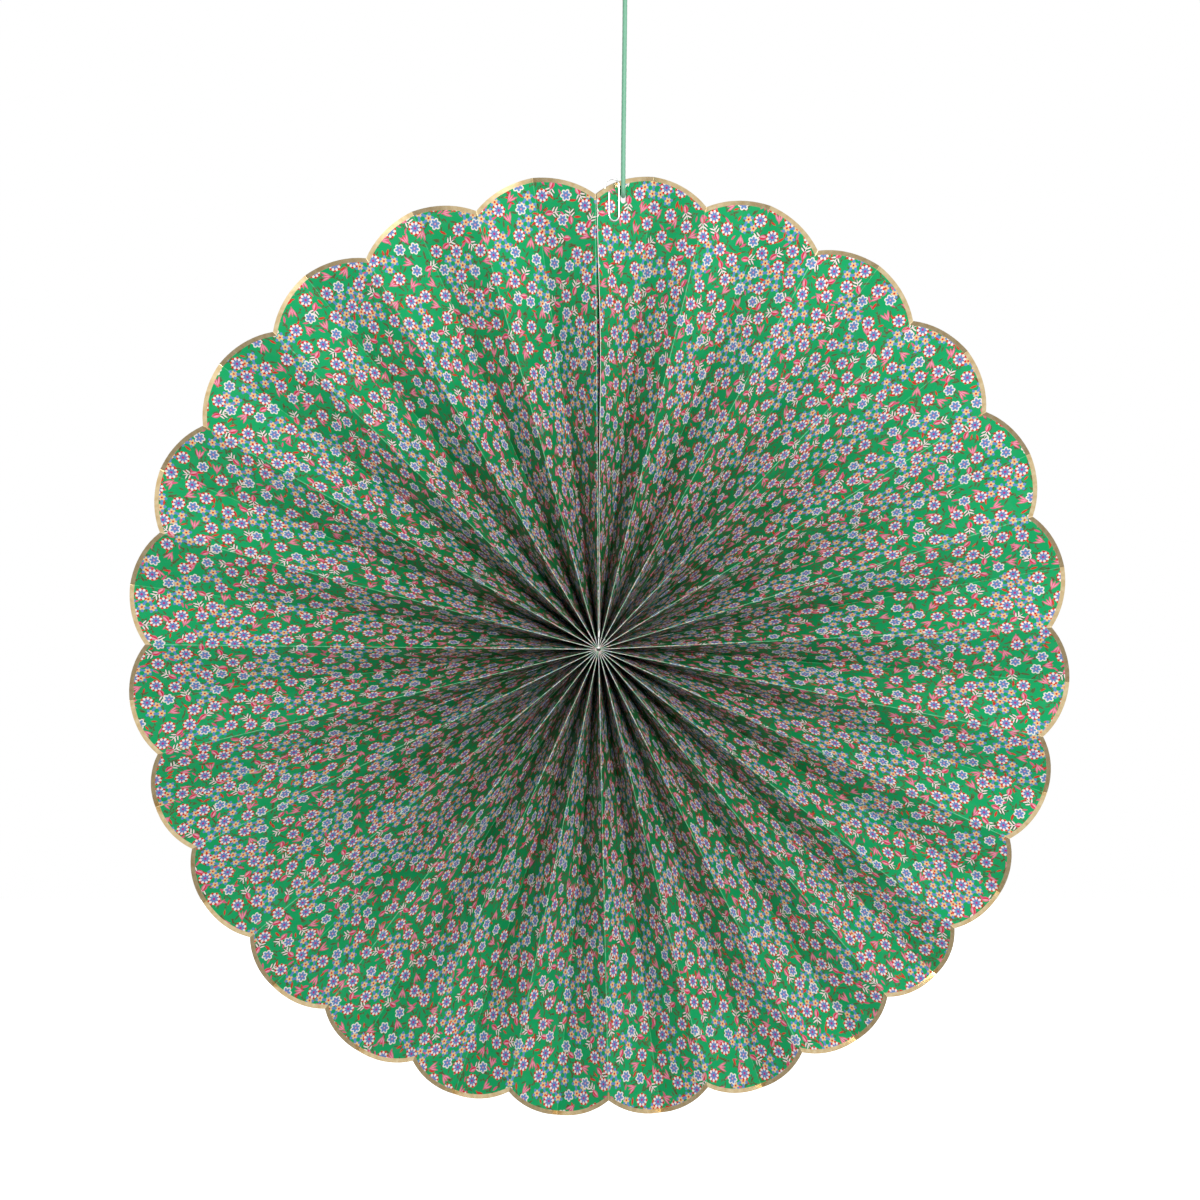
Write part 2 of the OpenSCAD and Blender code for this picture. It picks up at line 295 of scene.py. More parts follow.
# Fine fibres that run along a spun cord or thread. Their colour is a painted highlight where they
# stand proud and a painted shade where they lie deep.
spun_fibres, given, out = new_effect(
    "spun fibres",
    [("Place", "Vector", None), ("Fineness", "Float", 1.0),
     ("Deep colour", "Color", ink(90, 160, 125)), ("Proud colour", "Color", ink(165, 215, 190))],
    [("Colour", "Color"), ("Height", "Float")],
)
fibre_scale, shade_scale, fibre_stretch = 2600, 260, 0.22
stretched = given["Place"].scaled(combined(spun_fibres, 1, 1, fibre_stretch)).scaled(
    combined(spun_fibres, given["Fineness"], given["Fineness"], given["Fineness"])
)
fibre_height = mottle(spun_fibres, stretched, fibre_scale, 3)
soft_shade = mottle(spun_fibres, stretched, shade_scale, 1)
fibre_share = ((fibre_height - 0.5) * 1.1 + (soft_shade - 0.5) * 0.7 + 0.5).held()
feed(spun_fibres, out.inputs["Colour"],
     blend_ink(spun_fibres, fibre_share, given["Deep colour"], given["Proud colour"]))
feed(spun_fibres, out.inputs["Height"], fibre_height)


def spun_finish(name, deep, proud, fineness, sheen):
    material, tree, shader = new_finish(name)
    fibres = use_effect(tree, spun_fibres, Place=object_place(tree), Fineness=fineness,
                        Deep_colour=deep, Proud_colour=proud)
    feed(tree, shader.inputs["Base Color"], fibres["Colour"])
    feed(tree, shader.inputs["Normal"], bumped(tree, fibres["Height"], 0.5, 0.0001))
    shader.inputs["Roughness"].default_value = 0.62
    shader.inputs["Sheen Weight"].default_value = sheen
    shader.inputs["Sheen Roughness"].default_value = 0.4
    return material


# The cord's proud colour is a painted highlight and its deep colour a painted shade between the
# fibres.
mint_finish = spun_finish("mint cord", ink(88, 144, 114), ink(116, 168, 142), 1.0, 0.1)

strand_groove, strand_twist = 0.05, 9 * MM
cord_line = smooth_path(cord_route, 0.55)
hanging_cord = wound_tube(
    "mint_cord", cord_line, cord_d / 2, 24, strands=3, groove=strand_groove, twist=strand_twist
)
hanging_cord.data.materials.append(mint_finish)
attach(hanging_cord, "root")
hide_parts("hanging_cord")


# The knot. Both ends of the cord are tied together in one overhand knot, pulled tight, and cut off
# to leave two short tails.
knot_strand_d = 2.05 * MM
front_strand = [
    (0, -1.4, 2.4), (0.1, -1.35, 4), (0.5, -1.1, 6.2), (1.2, -0.9, 8), (2.3, -0.2, 8.8),
    (2.5, 1.4, 8.5), (1.1, 2.7, 8.1), (-1, 2.7, 7.7), (-2.6, 1.2, 7.2), (-2.7, -1, 6.8),
    (-1.3, -2.7, 6.4), (0.9, -2.8, 6), (2.5, -1.5, 5.6), (2.4, 0.4, 5.4), (1.1, 1, 6.2),
    (0.2, 0.7, 7.8), (-0.8, 0.3, 9.4), (-1.4, 0.1, 11.2), (-2.1, 0, 14.2), (-2.9, 0, 17.4),
]
back_strand = [
    (0, 1.4, 2.4), (-0.1, 1.3, 3.6), (-0.6, 1.1, 5), (-1.4, 0.9, 6.2), (-2.5, 0.2, 6.4),
    (-2.6, -1.3, 5.2), (-1.3, -2.8, 4.5), (0.8, -2.9, 4.2), (2.5, -1.6, 4), (2.8, 0.6, 4.1),
    (1.5, 2.5, 4.4), (-0.6, 2.9, 4.9), (-2.2, 1.9, 5.4), (-1.9, 0.5, 6.4), (-0.6, -0.4, 7.4),
    (0.6, -0.6, 8.8), (1.2, -0.4, 10.4), (1.6, -0.1, 12), (2.2, 0, 14.6), (2.8, 0.1, 17.2),
]
strands = [
    wound_tube("knot_strand", smooth_path(route, 0.45), knot_strand_d / 2, 20,
               strands=3, groove=strand_groove, twist=strand_twist)
    for route in (front_strand, back_strand)
]
bpy.ops.object.select_all(action="DESELECT")
for strand in strands:
    strand.select_set(True)
cord_knot = strands[0]
bpy.context.view_layer.objects.active = cord_knot
bpy.ops.object.join()
cord_knot.name = "overhand_knot"
cord_knot.data.materials.append(mint_finish)
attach(cord_knot, "root")
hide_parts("cord_knot")
round(length_of(cord_line), 4)


# The paper's folds. The disc is 52 panels of one width, folded back and forth. Even folds are
# mountains towards the viewer and end in the notches, odd ones are valleys and end in the peaks.
# Near the hub the panels stand almost on edge, and they flatten out towards the rim.
scallops = 26
panels = 2 * scallops
sheet_panels = 18
notch_r, scallop_rise = 215.2 * MM, 10.4 * MM
peak_r = notch_r + scallop_rise
rim_slope = radians(28)
panel_w = 2 * peak_r * sin(pi / panels) / cos(rim_slope)
scallop_r = (panel_w ** 2 + scallop_rise ** 2) / (2 * scallop_rise)
scallop_middle_r = peak_r - scallop_r
paper_t, hub_room = 0.2 * MM, 1.6
hub_r = panels * hub_room * paper_t / (2 * pi)
# The paper that is seen is thinner than its solid, and gathered in closer to the middle. Its tabs
# and its tucked panel are trimmed away near the hub, and lie one layer behind the paper in front.
shown_t, inner_r = 0.1 * MM, 1.05 * MM
trim_r = 8 * MM
tab_w = 12 * MM
edge_gap = 0.4 * MM
layer = 0.5 * MM
seam_angle = radians(-0.4)
first_joint = sheet_panels + 1
second_joint = 2 * sheet_panels + 1
# The disc's weight spreads its pleats at the top, and glue or the clip stiffens those at a joint.
top_spread, spread_phase = 0.09, radians(2)
stiff_folds, stiff_opening = (1, first_joint, second_joint), 0.93


def opening(i):
    spread = 1 + top_spread * cos(2 * pi * (i + 0.5) / panels + spread_phase)
    return spread * (stiff_opening if any(i in (fold - 1, fold) for fold in stiff_folds) else 1)


opened = [0.0]
for panel in range(panels):
    opened.append(opened[-1] + opening(panel))


def fold_angle(k):
    return seam_angle + 2 * pi * (k // panels + opened[k % panels] / opened[panels])


def fold_y(k, r):
    opening_here = (fold_angle(k + panels + 1) - fold_angle(k + panels - 1)) / 2
    depth = sqrt(panel_w ** 2 - (2 * r * sin(opening_here / 2)) ** 2) / 2
    return -depth if k % 2 == 0 else depth


crease_most, crease_per_r = 0.09 * MM, 0.05


def crease_half(r):
    """Half the width of a fold's rounded back. Close to the hub there is less room for it."""
    return min(crease_most, crease_per_r * r)


def rim_r(i, u):
    off_peak = (1 - u if i % 2 == 0 else u) * panel_w
    return scallop_middle_r + sqrt(scallop_r ** 2 - off_peak ** 2)


def panel_slope(i, r):
    span = r * sin((fold_angle(i + 1) - fold_angle(i)) / 2) - crease_half(r)
    return atan2(fold_y(i + 1, r) - fold_y(i, r), 2 * span), span


def panel_point(i, u, r, front=0.0):
    """The point the share u of the way across panel i, at a radius, so far in front of it."""
    slope, span = panel_slope(i, r)
    middle = (fold_angle(i) + fold_angle(i + 1)) / 2
    out = r * cos((fold_angle(i + 1) - fold_angle(i)) / 2)
    side = (2 * u - 1) * span + front * sin(slope)
    x = out * sin(middle) + side * cos(middle)
    y = (1 - u) * fold_y(i, r) + u * fold_y(i + 1, r) - front * cos(slope)
    return Vector((x, y, out * cos(middle) - side * sin(middle)))


# The seam stands open halfway out, where neither the clip nor the thread holds it.
slit_middle_r, slit_reach = 140 * MM, 48 * MM
slit_open, slit_deep, slit_cut = 0.9 * MM, 3 * MM, 0.2 * MM


def seam_gape(r):
    """How far the seam stands open at a radius, from 0 to 1."""
    return exp(-(((r - slit_middle_r) / slit_reach) ** 2))


def lift(i, u, r):
    """The first panel lies over the tucked one, which goes on from the seam behind it."""
    if i == 0:
        held = layer * min(1, max(0, (r - hub_r) / (trim_r - hub_r)))
        return (held + slit_open * seam_gape(r)) * (1 - u)
    if i == panels:
        return -layer * u - slit_deep * seam_gape(r) * sin(pi * u) ** 0.3
    return 0.0


# Handling leaves each panel very slightly buckled between its folds, the more so towards the rim,
# and less where the clip holds two panels together.
buckle, clipped_share = 0.45 * MM, 0.3
swells_per_panel, swells_per_metre = 0.7, 26


def buckled(i, u, r):
    swell = noise.noise(Vector(((i % panels + u) * swells_per_panel, r * swells_per_metre, 4.3)))
    held = clipped_share if i in (0, panels) else 1
    return buckle * swell * sin(pi * u) * (r / peak_r) ** 1.5 * held


# The hanging hole is punched through the middle of the first panel and of the one tucked behind it,
# and the disc hangs where that hole takes the cord.
hole_w, hole_h, hole_inset = 3.3 * MM, 5.1 * MM, 8.8 * MM
hole_r = rim_r(0, 0.5) - hole_inset
hole_place = Vector((-0.8, 0.1, -107.5)) * MM
hung = hole_place - panel_point(0, 0.5, hole_r)


def on_end_panel(from_seam, r):
    """The frame of a place on the end panel: X across it, Y behind it and Z outwards along it."""
    u, reach = from_seam / panel_w, 10 * MM
    slope = panel_slope(0, r)[0]
    rise = panel_point(0, u, r + reach).y - panel_point(0, u, r - reach).y
    lean_back = atan2(rise * cos(slope), 2 * reach)
    return (
        Matrix.Translation(hung + panel_point(0, u, r, lift(0, u, r)))
        @ Matrix.Rotation((fold_angle(0) + fold_angle(1)) / 2, 4, "Y")
        @ Matrix.Rotation(slope, 4, "Z")
        @ Matrix.Rotation(-lean_back, 4, "X")
    )


# The print. Its ground is green, strewn with blossoms, buds and leaves, and a band of gold foil
# runs along the scalloped edge. Near the hub the ground is painted darker, a painted shade. The
# folds wear pale where the ink has cracked, and their pale lines are partly a painted highlight
# where the creases catch the light. All of it is laid out on the flat sheet, in millimetres, with
# the hub at the bottom.
strewn, given, out = new_effect(
    "strewn motifs",
    [("Flat", "Vector", None), ("Spacing", "Float", 10.0), ("Turn", "Float", 0.0),
     ("Spread", "Float", 0.6), ("Shift", "Float", 0.0)],
    [("Near", "Vector"), ("Pick", "Float"), ("Tint", "Float")],
)
shift = given["Shift"] * given["Spacing"]
tilted = given["Flat"].turned(given["Turn"]).moved(combined(strewn, shift, shift, 0))
cells = strewn.nodes.new("ShaderNodeTexVoronoi")
cells.voronoi_dimensions = "2D"
feed(strewn, cells.inputs["Vector"], tilted)
feed(strewn, cells.inputs["Scale"], given["Spacing"].calc("POWER", -1))
feed(strewn, cells.inputs["Randomness"], given["Spread"])
draws = strewn.nodes.new("ShaderNodeSeparateColor")
strewn.links.new(cells.outputs["Color"], draws.inputs[0])
swing = Wire(strewn, draws.outputs[0]) * (2 * pi)
near = tilted.moved(Wire(strewn, cells.outputs["Position"]), "SUBTRACT").turned(swing)
feed(strewn, out.inputs["Near"], near)
feed(strewn, out.inputs["Pick"], Wire(strewn, draws.outputs[1]))
feed(strewn, out.inputs["Tint"], Wire(strewn, draws.outputs[2]))

# A printed edge goes from one ink to the next over this width.
ink_edge = 0.14

polar_place, given, out = new_effect(
    "polar place", [("Near", "Vector", None)], [("Around", "Float"), ("Away", "Float")]
)
x, y = given["Near"].part(0), given["Near"].part(1)
feed(polar_place, out.inputs["Around"], y.calc("ARCTAN2", x))
feed(polar_place, out.inputs["Away"], (x * x + y * y).calc("SQRT"))

petalled, given, out = new_effect(
    "petalled shape",
    [("Around", "Float", 0.0), ("Away", "Float", 0.0), ("Petals", "Float", 5.0),
     ("Radius", "Float", 3.0), ("Notch", "Float", 0.4), ("Turn", "Float", 0.0)],
    [("Shape", "Float")],
)
lobe = abs(((given["Around"] + given["Turn"]) * given["Petals"] * 0.5).calc("COSINE"))
reach = given["Radius"] * (given["Notch"] * (lobe - 1) + 1)
feed(petalled, out.inputs["Shape"], (reach - given["Away"]).above(0, ink_edge))

leaf_shaped, given, out = new_effect(
    "leaf shape",
    [("Near", "Vector", None), ("Centre", "Vector", None), ("Turn", "Float", 0.0),
     ("Half length", "Float", 2.0), ("Half width", "Float", 0.6)],
    [("Depth", "Float")],
)
local = given["Near"].moved(given["Centre"], "SUBTRACT").turned(given["Turn"])
along, beside = local.part(0) / given["Half length"], abs(local.part(1))
feed(leaf_shaped, out.inputs["Depth"], given["Half width"] * (along * along).flipped() - beside)

paper_grain, given, out = new_effect(
    "paper grain",
    [("Place", "Vector", None), ("Coarseness", "Float", 1.0)],
    [("Tone", "Float"), ("Height", "Float")],
)
fine_scale, cloudy_scale = 2200, 160
fine = mottle(paper_grain, given["Place"], fine_scale, 1)
cloudy = mottle(paper_grain, given["Place"], cloudy_scale, 1)
tone = ((fine - 0.5) * 0.6 + (cloudy - 0.5)) * given["Coarseness"] + 0.5
feed(paper_grain, out.inputs["Tone"], tone)
feed(paper_grain, out.inputs["Height"], fine * given["Coarseness"] + cloudy * 0.6)

ground_green = ink(22, 143, 86)
# The next green is painted shade: the ground as it looks deep in the crowded pleats near the hub.
hub_shade_green = ink(0, 106, 54)
shade_green = ink(8, 52, 34)
cream = ink(212, 200, 193)
lilac = ink(104, 110, 160)
sky = ink(86, 126, 172)
magenta = ink(158, 54, 118)
rose = ink(192, 78, 112)
blush = ink(206, 144, 154)
coral = ink(184, 48, 40)
brick = ink(88, 58, 42)
butter = ink(202, 172, 124)
bare_paper = ink(214, 212, 206)
# The next green is partly worn ink and partly a painted crease highlight.
pale_green = ink(124, 190, 150)

print_finish, tree, shader = new_finish("printed paper")
flat_map = tree.nodes.new("ShaderNodeUVMap")
flat_map.uv_map = "flat_sheet"
flat = Wire(tree, flat_map.outputs[0]).scaled((1000, 1000, 0))
grain = use_effect(tree, paper_grain, Place=object_place(tree), Coarseness=0.5)


def polar(near):
    return use_effect(tree, polar_place, Near=near)


def petals(here, count, radius, notch, turn=0.0):
    return use_effect(tree, petalled, Around=here["Around"], Away=here["Away"], Petals=count,
                      Radius=radius, Notch=notch, Turn=turn)["Shape"]


def leaf_depth(near, *leaves):
    """How deep a place lies in the nearest leaf of (centre, turn, half length, half width)."""
    deepest = None
    for centre, turn, half_length, half_width in leaves:
        depth = use_effect(tree, leaf_shaped, Near=near, Centre=(*centre, 0), Turn=turn,
                           Half_length=half_length, Half_width=half_width)["Depth"]
        deepest = depth if deepest is None else deepest.calc("MAXIMUM", depth)
    return deepest


def leaf(near, *leaves):
    return leaf_depth(near, *leaves).above(0, ink_edge)


def strew(spacing, turn, spread, shift=0.0):
    found = use_effect(tree, strewn, Flat=flat, Spacing=spacing, Turn=turn, Spread=spread,
                       Shift=shift)
    return found["Near"], found["Pick"], found["Tint"]


def drawn_over(colour, shapes, where):
    """Lays shapes over a colour, one after the other, where their motif has been picked."""
    for shape, tint in shapes:
        colour = blend_ink(tree, shape * where, colour, tint)
    return colour


# The ground's green is painted darker near the hub, a painted shade for the deep pleats there, and
# its ink is a little uneven.
across_mm, up_mm = flat.part(0), flat.part(1)
ground_reach, unevenness = 140, 0.4
towards_rim = (up_mm / ground_reach - 0.5 + mottle(tree, flat, 0.05, 1) * unevenness).held()
colour = blend_ink(tree, towards_rim, hub_shade_green, ground_green)

# Thin twigs with leaflets lie on the ground, and small leaves between them.
loose_spread, pick_edge = 0.8, 0.001
near, _, _ = strew(6.8, 0.6, loose_spread)
twig = leaf(
    near,
    ((0, 0), 0.0, 3.4, 0.2),
    ((-1.7, 0.5), -0.7, 0.9, 0.3),
    ((-0.3, -0.5), 0.7, 0.9, 0.3),
    ((1.2, 0.45), -0.7, 0.9, 0.3),
)
colour = blend_ink(tree, twig * 0.8, colour, brick)
for spacing, turn, half_length in ((5.2, 0.9, 1.6), (6.3, 0.25, 2.0)):
    near, pick, tint = strew(spacing, turn, loose_spread)
    shape = leaf(near, ((0, 0), 0.0, half_length, half_length * 0.28))
    is_bright = pick.above(0.62, pick_edge)
    bright = blend_ink(tree, tint.above(0.5, pick_edge), rose, coral)
    colour = blend_ink(tree, shape * is_bright.flipped() * 0.72, colour, brick)
    colour = blend_ink(tree, shape * is_bright, colour, bright)

# Buds on cream sprigs, sprays of long pink leaves and clusters of three small blossoms come next.
motif_spacing, motif_turn, motif_spread = 10.8, 0.32, 0.45
near, pick, _ = strew(motif_spacing, motif_turn, motif_spread)
is_bud = pick.above(0.36, pick_edge).flipped()
is_spray = pick.above(0.7, pick_edge)
is_cluster = is_bud.flipped() - is_spray
sprig_outline, spray_heart = 0.2, 0.34
sprig = leaf_depth(
    near,
    ((0, -1.3), pi / 2, 2.8, 0.24),
    ((1.4, -0.6), 0.65, 1.65, 0.38),
    ((-1.4, -0.6), -0.65, 1.65, 0.38),
    ((1.2, -2.2), 0.65, 1.65, 0.38),
    ((-1.2, -2.2), -0.65, 1.65, 0.38),
)
colour = drawn_over(colour, (
    (sprig.above(-sprig_outline, ink_edge), shade_green),
    (sprig.above(0, ink_edge), cream),
    (leaf(near, ((0, 1.9), pi / 2, 2.3, 1.35)), rose),
    (leaf(near, ((-0.4, 1.9), pi / 2, 1.6, 0.45)), blush),
    (leaf(near, ((0.4, 1.6), pi / 2, 1.6, 0.3)), coral),
), is_bud)
spray = leaf_depth(
    near,
    ((-1.1, 0.4), -1.15, 2.7, 0.6),
    ((1.1, 0.4), 1.15, 2.7, 0.6),
    ((0, 0.9), pi / 2, 2.7, 0.6),
)
colour = drawn_over(colour, (
    (spray.above(0, ink_edge), rose),
    (spray.above(spray_heart, ink_edge), blush),
), is_spray)
third, blossom_from_middle = 2 * pi / 3, 3
to_first_blossom = (polar(near)["Around"] / third).calc("ROUND") * -third
here = polar(near.turned(to_first_blossom).moved((blossom_from_middle, 0, 0), "SUBTRACT"))
colour = drawn_over(colour, (
    (petals(here, 5, 2.8, 0.64), sky),
    (petals(here, 5, 1.8, 0.5, 0.63), butter),
    (petals(here, 3, 0.55, 0.1), coral),
), is_cluster)

# The large blossoms lie between them: cream ones with a lilac heart and coral sepals, and blue
# ones. They have the same rows, moved on by a whole number of cells and a half.
between_rows = 37.5
near, pick, _ = strew(motif_spacing, motif_turn, motif_spread, between_rows)
here = polar(near)
is_cream = pick.above(0.68, pick_edge).flipped()
eighth = pi / 8
colour = drawn_over(colour, (
    (petals(here, 8, 3.5, 0.3, eighth), coral),
    (petals(here, 8, 3.15, 0.4), cream),
    (petals(here, 8, 2.4, 0.6, eighth), lilac),
    (petals(here, 8, 1.6, 0.3), sky),
    (petals(here, 4, 0.8, 0.3), magenta),
), is_cream)
colour = drawn_over(colour, (
    (petals(here, 6, 3.0, 0.3), cream),
    (petals(here, 6, 2.35, 0.5), sky),
    (petals(here, 6, 1.3, 0.4, pi / 6), lilac),
    (petals(here, 3, 0.45, 0.1), blush),
), is_cream.flipped())

# Ink wears off the folds, most of all off the mountains and near the hub, and the pale lines along
# the folds are partly a painted highlight where the creases catch the light, brightest near the
# hub.
# The seam's cut edge shows the bare paper.
fold_line_w, cut_edge_w = 0.12, 0.3
panel_mm = panel_w * 1000
from_peak = abs(across_mm.calc("FLOORED_MODULO", 2 * panel_mm) - panel_mm)
from_fold = abs((across_mm + panel_mm / 2).calc("FLOORED_MODULO", panel_mm) - panel_mm / 2)
on_mountain = from_peak.above(panel_mm / 2, 0.01)
cracked = mottle(tree, flat.scaled((1.6, 0.5, 0)), 1.0, 1).above(0.42, 0.3)
near_hub = up_mm.above(40, 60).flipped()
fold_line = from_fold.above(fold_line_w, 0.1).flipped()
cut_edge = across_mm.above(cut_edge_w, 0.1).flipped()
# The fold lines are worn ink and a painted highlight on the creases.
wear_and_highlight = fold_line * (cracked * 0.5 + 0.1).calc("MAXIMUM", near_hub * 0.7)
wear_and_highlight = wear_and_highlight * (on_mountain * 0.5 + 0.5)
wear_and_highlight_colour = blend_ink(tree, near_hub * cracked, pale_green, bare_paper)
colour = blend_ink(tree, wear_and_highlight, colour, wear_and_highlight_colour)
colour = blend_ink(tree, cut_edge, colour, bare_paper)

# The foil follows the scalloped edge at one width.
foil_w = 2.1
arc = combined(tree, from_peak, (up_mm - scallop_middle_r * 1000).calc("MAXIMUM", 0))
arc_length = tree.nodes.new("ShaderNodeVectorMath")
arc_length.operation = "LENGTH"
feed(tree, arc_length.inputs[0], arc)
from_edge = Wire(tree, arc_length.outputs["Value"]).calc("MULTIPLY_ADD", -1, scallop_r * 1000)
foil = from_edge.above(foil_w, 0.1).flipped()
foil_pale, foil_deep = ink(232, 216, 178), ink(188, 154, 98)
foil_colour = blend_ink(tree, mottle(tree, flat, 0.35, 1), foil_deep, foil_pale)
colour = blend_ink(tree, foil, colour, foil_colour)
colour = blend_ink(tree, (grain["Tone"] - 0.5) * 0.1, colour, bare_paper)

feed(tree, shader.inputs["Base Color"], colour)
feed(tree, shader.inputs["Metallic"], foil)
ink_roughness, foil_roughness = 0.36, 0.2
roughness = foil * (foil_roughness - ink_roughness) + ink_roughness
roughness = roughness + grain["Tone"] * 0.1 + wear_and_highlight * 0.3
feed(tree, shader.inputs["Roughness"], roughness)
feed(tree, shader.inputs["Normal"], bumped(tree, grain["Height"], 0.12, 0.0001))
shader.inputs["Specular IOR Level"].default_value = 0.04

back_finish, tree, shader = new_finish("bare paper back")
grain = use_effect(tree, paper_grain, Place=object_place(tree), Coarseness=1.0)
back_colour = blend_ink(tree, grain["Tone"], ink(222, 220, 211), ink(244, 243, 238))
feed(tree, shader.inputs["Base Color"], back_colour)
feed(tree, shader.inputs["Normal"], bumped(tree, grain["Height"], 0.25, 0.0001))
shader.inputs["Roughness"].default_value = 0.8


# The sheets. Each is cut flat with a scalloped edge, pleated, and glued behind the one before it by
# a tab. The first has no tab. The last goes on behind the first, and both take the hanging hole.
tab_shares = (1, 0.75, 0.5, 0.25, 0.04)
panel_shares = (0, 0.016, 0.1, 0.2, 0.3, 0.4, 0.5, 0.6, 0.7, 0.8, 0.9, 0.984, 1)
row_count = 60


def fold_ridge(k, r):
    """The rounded outside of a fold, between one panel's last point and the next one's first."""
    before, after = panel_point(k - 1, 1, r), panel_point(k, 0, r)
    bulge = crease_half(r) * sin(panel_slope(k, r)[0] / 2)
    return (before + after) / 2 + Vector((0, bulge if k % 2 else -abs(bulge), 0))


def fold_sheet(name, node, first, last, has_tab):
    """Lays out a flat sheet, first to last panel, and folds it, column by column."""
    # A column is a line from the hub to the rim: its panel, the share across it, and its kind.
    columns = []
    if has_tab:
        columns += [(first - 1, 1 - share * tab_w / panel_w, "tab") for share in tab_shares]
    for i in range(first, last + 1):
        if i > first:
            columns.append((i, 0, "fold"))
        columns += [(i, u, "panel") for u in panel_shares]
    columns[-1] = (last, 1 - edge_gap / panel_w, "panel")

    points, spots = [], []
    for i, u, kind in columns:
        inner = trim_r if kind == "tab" or i == panels else inner_r
        outer = rim_r(i, u)
        for row in range(row_count + 1):
            r = inner + (outer - inner) * row / row_count
            short = (slit_cut + slit_open * seam_gape(r)) / panel_w if i == 0 else 0
            folded_u = short + (1 - short) * u
            if kind == "fold":
                point = fold_ridge(i, r)
            else:
                front = (-layer if kind == "tab" else lift(i, u, r)) + buckled(i, u, r)
                point = panel_point(i, folded_u, r, front)
            points.append(hung + point)
            spots.append(((i - first + u + first % 2) * panel_w, r))
    rows = row_count + 1
    faces = [
        (c * rows + r, (c + 1) * rows + r, (c + 1) * rows + r + 1, c * rows + r + 1)
        for c in range(len(columns) - 1) for r in range(row_count)
    ]
    sheet = add_mesh(name, points, faces)
    flat_map = sheet.data.uv_layers.new(name="flat_sheet")
    for corner in sheet.data.loops:
        flat_map.data[corner.index].uv = spots[corner.vertex_index]
    sheet.data.materials.append(print_finish)
    sheet.data.materials.append(back_finish)
    bpy.context.view_layer.objects.active = sheet
    thicken = sheet.modifiers.new("thickness", "SOLIDIFY")
    thicken.thickness, thicken.offset = shown_t, 0
    thicken.material_offset = thicken.material_offset_rim = 1
    bpy.ops.object.modifier_apply(modifier=thicken.name)
    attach(sheet, "root")
    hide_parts(node)
    return sheet


punch_l = 20 * layer
sharpest_smooth = radians(24)


def punch_hole(sheet):
    """Cuts the oblong hanging hole out of a sheet."""
    straight = hole_h - hole_w
    bpy.ops.mesh.primitive_cylinder_add(vertices=48, radius=hole_w / 2, depth=punch_l)
    punch = bpy.context.object
    punch.data.transform(Matrix.Rotation(pi / 2, 4, "X"))
    for point in punch.data.vertices:
        point.co.z += straight / 2 if point.co.z > 0 else -straight / 2
    punch.data.transform(on_end_panel(panel_w / 2, hole_r))
    punch.data.materials.append(print_finish)
    punch.data.materials.append(back_finish)
    for face in punch.data.polygons:
        face.material_index = 1
    bpy.ops.object.select_all(action="DESELECT")
    bpy.context.view_layer.objects.active = sheet
    cut = sheet.modifiers.new("punched", "BOOLEAN")
    cut.operation, cut.solver, cut.object = "DIFFERENCE", "EXACT", punch
    bpy.ops.object.modifier_apply(modifier=cut.name)
    bpy.data.objects.remove(punch)


def smooth_sheet(sheet):
    """Smooths the rounded folds, and leaves the cut edges sharp."""
    bpy.ops.object.select_all(action="DESELECT")
    sheet.select_set(True)
    bpy.context.view_layer.objects.active = sheet
    bpy.ops.object.shade_smooth_by_angle(angle=sharpest_smooth)
    sheet.select_set(False)


right_sheet = fold_sheet("right_paper_sheet", "right_sheet", 0, first_joint - 1, False)
lower_sheet = fold_sheet("lower_paper_sheet", "lower_sheet", first_joint, second_joint - 1, True)
left_sheet = fold_sheet("left_paper_sheet", "left_sheet", second_joint, panels, True)
punch_hole(right_sheet)
punch_hole(left_sheet)
for paper in (right_sheet, lower_sheet, left_sheet):
    smooth_sheet(paper)


# The centre thread. It is sewn through every panel close to the hub and drawn tight, so that it
# gathers the pleats. Deep between them, it hardly shows.
thread_d, thread_ring_r = 0.7 * MM, 4.8 * MM
ring_points, thread_twists = 144, 12
thread_line = [
    hung + Vector((sin(2 * pi * k / ring_points), 0, cos(2 * pi * k / ring_points))) * thread_ring_r
    for k in range(ring_points)
]
centre_thread = wound_tube(
    "gathering_thread", thread_line, thread_d / 2, 12, strands=2, groove=0.2,
    twist=2 * pi * thread_ring_r / thread_twists, closed=True,
)
# The thread's two colours are likewise a painted highlight and a painted shade between its fibres.
centre_thread.data.materials.append(
    spun_finish("white thread", ink(214, 212, 204), ink(248, 247, 242), 2.0, 0.1)
)
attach(centre_thread, "root")
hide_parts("centre_thread")


# The paper clip. One length of bright plated wire is bent into a small loop, which lies on the
# front, and a large one, which lies on the back. It is pushed over the rim to hold the end panels.
wire_d = 0.9 * MM
clip_l, clip_step = 26.4 * MM, 5.5 * MM
small_w, large_w = 6.3 * MM, 7.8 * MM
small_half, large_half = (small_w - wire_d) / 2, (large_w - wire_d) / 2
top_half, top_side = (small_half + large_half) / 2, (small_half - large_half) / 2
top_out = clip_l / 2 - wire_d / 2 - top_half
large_out = wire_d / 2 + large_half - clip_l / 2
small_out = wire_d / 2 + small_half + clip_step - clip_l / 2
small_leg, large_leg = 13.8 * MM, 18.6 * MM
clip_gap = 0.4 * MM
front_y = -(paper_t / 2 + clip_gap + wire_d / 2)
back_y = layer - front_y
clip_from_seam, clip_over_rim = 9.6 * MM, 2.6 * MM
clip_r = rim_r(0, clip_from_seam / panel_w) + clip_over_rim - clip_l / 2
clip_lean = radians(-2.7)
bend_steps = 28
cross_from, cross_to = 0.25, 0.875


def crossing(share):
    """How far back the wire is in its top bend, where it passes over the paper's edge."""
    crossed = min(1, max(0, (share - cross_from) / (cross_to - cross_from)))
    return front_y + (back_y - front_y) * (1 - cos(pi * crossed)) / 2


